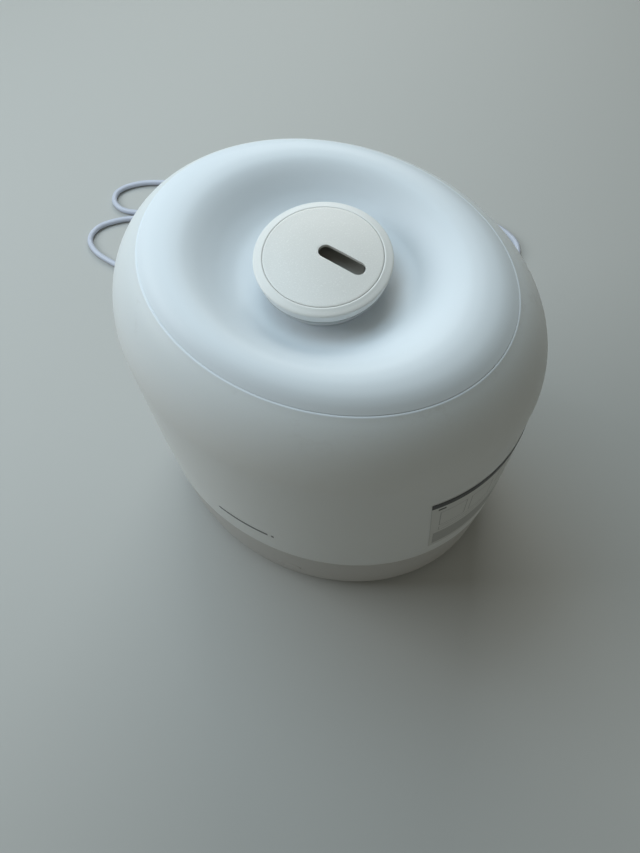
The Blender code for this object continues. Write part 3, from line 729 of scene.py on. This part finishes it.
def makeMark():
    # plain printed stripe and dot on the front, standing for no maker
    piece = None
    dotHalf = mark["dotHigh"] / 2
    middle = (mark["low"] + mark["high"]) / 2
    spans = [(mark["start"], mark["end"], mark["low"], mark["high"]),
             (mark["dot"] - 0.4, mark["dot"] + 0.4, middle - dotHalf, middle + dotHalf)]
    for start, end, low, high in spans:
        bpy.ops.object.select_all(action="DESELECT")
        bpy.ops.mesh.primitive_grid_add(x_subdivisions=24, y_subdivisions=2, size=1)
        ink = bpy.context.object
        for vert in ink.data.vertices:
            turn = math.radians(start + (end - start) * (vert.co.x + 0.5))
            x = (body["halfX"] + mark["out"]) * math.cos(turn)
            y = (body["halfY"] + mark["out"]) * math.sin(turn)
            vert.co = Vector((x, y, low + (high - low) * (vert.co.y + 0.5))) * mm
        change = ink.modifiers.new("thickness", "SOLIDIFY")
        change.thickness = 0.04 * mm
        change.offset = 1
        applyAll(ink)
        if piece:
            bpy.ops.object.select_all(action="DESELECT")
            ink.select_set(True)
            piece.select_set(True)
            bpy.context.view_layer.objects.active = piece
            bpy.ops.object.join()
        else:
            piece = ink
    piece.name = "frontMark"
    edit(piece)
    return done(piece, "mark")


tankShell = makeTank()
mistTube = makeTube()
ratingLabel = makeLabel()
frontMark = makeMark()
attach(frontMark, "tank")
for piece, node, slot in ((tankShell, "tank_shell", "frosted_tank"), (mistTube, "mist_tube", "frosted_tank"),
                          (ratingLabel, "rating_label", "label_grey")):
    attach(piece, "tank")
    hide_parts(node)

# ---------- tank valve spring ----------
spring = {"x": -62.0, "turns": 4.5, "wire": 0.9, "coil": 4.3, "low": 43.9, "high": 53.7, "pressed": 8.3}


def makeSpring():
    low = spring["low"] + spring["wire"] / 2
    rise = spring["high"] - spring["wire"] / 2 - low
    steps = int(32 * spring["turns"])
    curve = bpy.data.curves.new("valveSpring", "CURVE")
    curve.dimensions = "3D"
    curve.bevel_depth = spring["wire"] / 2 * mm
    curve.bevel_resolution = 3
    curve.use_fill_caps = True
    line = curve.splines.new("POLY")
    line.points.add(steps)
    for i, point in enumerate(line.points):
        turn = 2 * math.pi * spring["turns"] * i / steps
        spot = Vector((spring["x"] + spring["coil"] * math.cos(turn), spring["coil"] * math.sin(turn),
                       low + rise * i / steps))
        point.co = (*(spot * mm), 1)
    line.use_smooth = True
    coil = bpy.data.objects.new("valveSpring", curve)
    bpy.context.scene.collection.objects.link(coil)
    bpy.ops.object.select_all(action="DESELECT")
    coil.select_set(True)
    bpy.context.view_layer.objects.active = coil
    bpy.ops.object.convert(target="MESH")
    dress(coil, "steel")
    return coil


valveSpring = makeSpring()
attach(valveSpring, "tank")
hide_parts("valve_spring")
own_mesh(valveSpring)
print("tank made")


# ---------- cover ----------
cover = {"edge": 22.4, "bowl": 33.0, "heights": [
    (0.0, 222.7), (0.07, 225.4), (0.15, 227.4), (0.25, 228.5), (0.33, 228.6), (0.42, 227.9),
    (0.52, 225.8), (0.63, 222.4), (0.74, 218.8), (0.86, 215.9), (1.0, 214.6)]}


def heightAt(share):
    # smooth curve through the cover's heights
    stops = cover["heights"]
    spots = [stops[0]] + stops + [stops[-1]]
    for a, b, c, d in zip(spots, spots[1:], spots[2:], spots[3:]):
        if b[0] <= share <= c[0] and c[0] > b[0]:
            t = (share - b[0]) / (c[0] - b[0])
            slopeB = (c[1] - a[1]) / max(1e-6, c[0] - a[0]) * (c[0] - b[0])
            slopeC = (d[1] - b[1]) / max(1e-6, d[0] - b[0]) * (c[0] - b[0])
            return ((2 * t ** 3 - 3 * t ** 2 + 1) * b[1] + (t ** 3 - 2 * t ** 2 + t) * slopeB
                    + (3 * t ** 2 - 2 * t ** 3) * c[1] + (t ** 3 - t ** 2) * slopeC)
    return stops[-1][1]


def coverRing(share, drop=0.0):
    wide, deep, _ = oval(cover["edge"], 0)
    bowl = cover["bowl"]
    return (wide + (bowl - wide) * share, deep + (bowl - deep) * share, heightAt(share) - drop)


def makeCover():
    steps = 44
    wide, deep, _ = oval(cover["edge"], 0)
    top = [(wide - 0.05, deep - 0.05, 222.45)] + [coverRing(i / steps) for i in range(steps + 1)]
    throat = [(29, 29, 214.1), (27, 27, 214.0), (22.9, 22.9, 214.0), (22.3, 22.3, 213.6), (22.3, 22.3, 200.3),
              (22.6, 22.6, 200.0), (24.0, 24.0, 200.0), (24.3, 24.3, 200.3), (24.3, 24.3, 211.8)]
    under = [coverRing(1 - i / 20 * 0.7, body["wall"]) for i in range(21)]
    skirt = [oval(31.2, 224.0), oval(31.2, 213.2), oval(31.0, 213.0), oval(29.5, 213.0), oval(29.3, 213.2),
             oval(29.3, 222.6), oval(23.3, 222.6)]
    return lathe("topCover", top + throat + under + skirt, "cover", 160, angle=50)


topCover = makeCover()
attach(topCover, "cover")
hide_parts("top_cover")
print("cover made")


# ---------- nozzle ----------
nozzle = {"inner": 26.78, "ledge": 228.1, "discTop": 230.0, "crown": 0.6, "slotW": 23.4, "slotH": 6.9,
          "slotTurn": -5.5, "slotAt": (8.5, 1.4), "baffle": 18.3, "baffleLow": 218.6}


def makeRing():
    edge = nozzle["inner"]
    section = [(edge, 228.9), (edge + 0.1, 229.15), (edge + 0.4, 229.25), (edge + 0.8, 229.2), (28.0, 229.0),
               (29.2, 228.67), (30.1, 228.38), (30.5, 228.2), (30.8, 227.95), (30.9, 227.6), (30.88, 227.2),
               (30.6, 226.0), (30.05, 223.6), (29.75, 222.3), (29.45, 222.2), (29.45, 221.9), (29.7, 221.8),
               (29.55, 221.0), (29.35, 220.5), (28.9, 220.2), (22.6, 220.2), (22.3, 220.5), (22.3, 223.0),
               (25.6, 223.0), (25.6, nozzle["ledge"]), (edge, nozzle["ledge"])]
    return lathe("nozzleRing", [(r, r, z) for r, z in section], "ring", 160, angle=42)


def slotPlace(z):
    turn = Matrix.Rotation(math.radians(nozzle["slotTurn"]), 4, "Z")
    return Matrix.Translation((nozzle["slotAt"][0] * mm, nozzle["slotAt"][1] * mm, z * mm)) @ turn


def makeDisc():
    top = nozzle["discTop"]
    section = [(26.4, 228.4), (26.65, 228.6), (26.7, 229.0), (26.6, 229.25), (26.3, 229.38), (25.7, 229.43)]
    section += [(r, top - nozzle["crown"] * (r / 25) ** 2) for r in (24, 21, 18, 15, 12, 9, 6, 3, 1)]
    piece = lathe("nozzleDisc", [(r, r, z) for r, z in section], "disc", 160, True)
    slot = stadium("slotTool", nozzle["slotW"], nozzle["slotH"], 12, "disc", 28)
    place(slot, slotPlace(220))
    cutWith(piece, slot)
    soften(piece, 0.22, 3, 60)
    edit(piece)
    done(piece, "disc", 40)
    evenShade(piece)
    return piece


def makeBaffle():
    # splash plate on three pegs, just under the slot
    low = nozzle["baffleLow"]
    edge = nozzle["baffle"]
    section = [(edge - 0.4, low), (edge - 0.1, low + 0.1), (edge, low + 0.4), (edge, low + 1.0),
               (edge - 0.1, low + 1.3), (edge - 0.4, low + 1.4)]
    piece = lathe("splashBaffle", [(r, r, z) for r, z in section], "baffle", 96, True)
    for i in range(3):
        turn = math.radians(60 + 120 * i)
        spot = ((edge - 2) * math.cos(turn), (edge - 2) * math.sin(turn))
        peg = [(1.3, 1.3, low + 0.7), (1.2, 1.2, 227.6), (0.9, 0.9, 228.1)]
        cutWith(piece, lathe("baffleTool", peg, "baffle", 24, True, spot), "UNION")
    edit(piece)
    return done(piece, "baffle", 40)


def makeCollar():
    section = [(18.8, 203), (21.7, 203), (22.0, 203.4), (22.0, 214.3), (26.2, 214.3), (26.5, 214.6),
               (26.5, 216.3), (26.2, 216.6), (22.0, 217.6), (22.0, 223.3), (24.3, 223.3), (24.6, 223.6),
               (24.6, 224.7), (24.3, 225), (19.1, 225), (18.8, 224.7)]
    return lathe("nozzleCollar", [(r, r, z) for r, z in section], "inner", 96)


nozzleRing, nozzleDisc, nozzleCollar, splashBaffle = makeRing(), makeDisc(), makeCollar(), makeBaffle()
for piece, node, bodyName, slot in ((nozzleRing, "nozzle_ring", "nozzle", "nozzle_white"),
                                    (nozzleDisc, "nozzle_disc", "nozzle", "nozzle_white"),
                                    (splashBaffle, "splash_baffle", "nozzle", "baffle_grey"),
                                    (nozzleCollar, "nozzle_collar", "collar", "inner_white")):
    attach(piece, bodyName)
    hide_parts(node)
print("nozzle made")


# ---------- CAD nodes that keep their shape ----------
kept = {
    "frost": ["tank_floor"],
    "base": ["bottom_plate"],
    "inner": ["water_basin", "valve_pin", "float_post", "air_duct", "valve_cap", "valve_plunger",
              "water_float", "board_standoff_1", "board_standoff_2", "board_standoff_3", "board_standoff_4"],
    "silicone": ["transducer_seal", "valve_seal", "tank_foot_seal", "cover_gasket"],
    "rubber": ["rubber_foot_1", "rubber_foot_2", "rubber_foot_3", "rubber_foot_4"],
    "steel": ["bottom_screw_1", "bottom_screw_2", "bottom_screw_3", "bottom_screw_4",
              "board_coil"],
    "board": ["control_board", "button_board"],
    "black": ["fan_frame", "fan_rotor", "float_magnet", "button_switch", "board_capacitor_1",
              "board_capacitor_2"],
    "ceramic": ["transducer_disc"],
    "alloy": ["transducer_retainer", "heat_sink"]}
for look, nodes in kept.items():
    for name in nodes:
        dress(bpy.data.objects[name], look)


# ---------- stage and light ----------
stage = {
    "floor": (0.50, 0.51, 0.50), "sky": (1.0, 1.0, 0.87), "skyPower": 0.185, "tone": "Standard",
    "lights": [
        {"name": "windowLeft", "turn": 200, "rise": 30, "far": 1.0, "size": (0.55, 0.55), "power": 4.24,
         "color": (0.88, 0.96, 1.0)},
        {"name": "windowHigh", "turn": 160, "rise": 62, "far": 1.0, "size": (0.55, 0.55), "power": 3.34,
         "color": (0.67, 0.87, 1.0)},
        {"name": "windowBack", "turn": 118, "rise": 35, "far": 1.0, "size": (0.55, 0.55), "power": 2.95,
         "color": (0.96, 1.0, 0.98)}]}


def addFloor():
    bpy.ops.object.select_all(action="DESELECT")
    bpy.ops.mesh.primitive_plane_add(size=6, location=(0, 0, 0))
    floor = bpy.context.object
    floor.name = "floor"
    look = Finish("floorPaper", stage["floor"], 0.7)
    cloud = look.noise(1.5, 2.0)
    darker = tuple(c * 0.96 for c in stage["floor"])
    look.put("Base Color", look.blend(cloud, darker, stage["floor"]))
    floor.data.materials.append(look.material)


def addLight(lamp):
    # turn and rise give the way to the light, as seen from the middle of the object
    turn, rise = math.radians(lamp["turn"]), math.radians(lamp["rise"])
    way = Vector((math.cos(rise) * math.cos(turn), math.cos(rise) * math.sin(turn), math.sin(rise)))
    data = bpy.data.lights.new(lamp["name"], "AREA")
    data.shape = "RECTANGLE"
    data.size, data.size_y = lamp["size"]
    data.energy = lamp["power"]
    data.color = lamp["color"]
    made = bpy.data.objects.new(lamp["name"], data)
    bpy.context.scene.collection.objects.link(made)
    made.location = Vector((0, 0, 0.12)) + way * lamp["far"]
    made.rotation_euler = (-way).to_track_quat("-Z", "Y").to_euler()


def addLights():
    world = bpy.data.worlds.new("studio")
    bpy.context.scene.world = world
    world.use_nodes = True
    sky = world.node_tree.nodes["Background"]
    sky.inputs["Color"].default_value = (*stage["sky"], 1)
    sky.inputs["Strength"].default_value = stage["skyPower"]
    bpy.context.scene.view_settings.view_transform = stage["tone"]
    for lamp in stage["lights"]:
        addLight(lamp)


addFloor()
addLights()
print("stage lit")
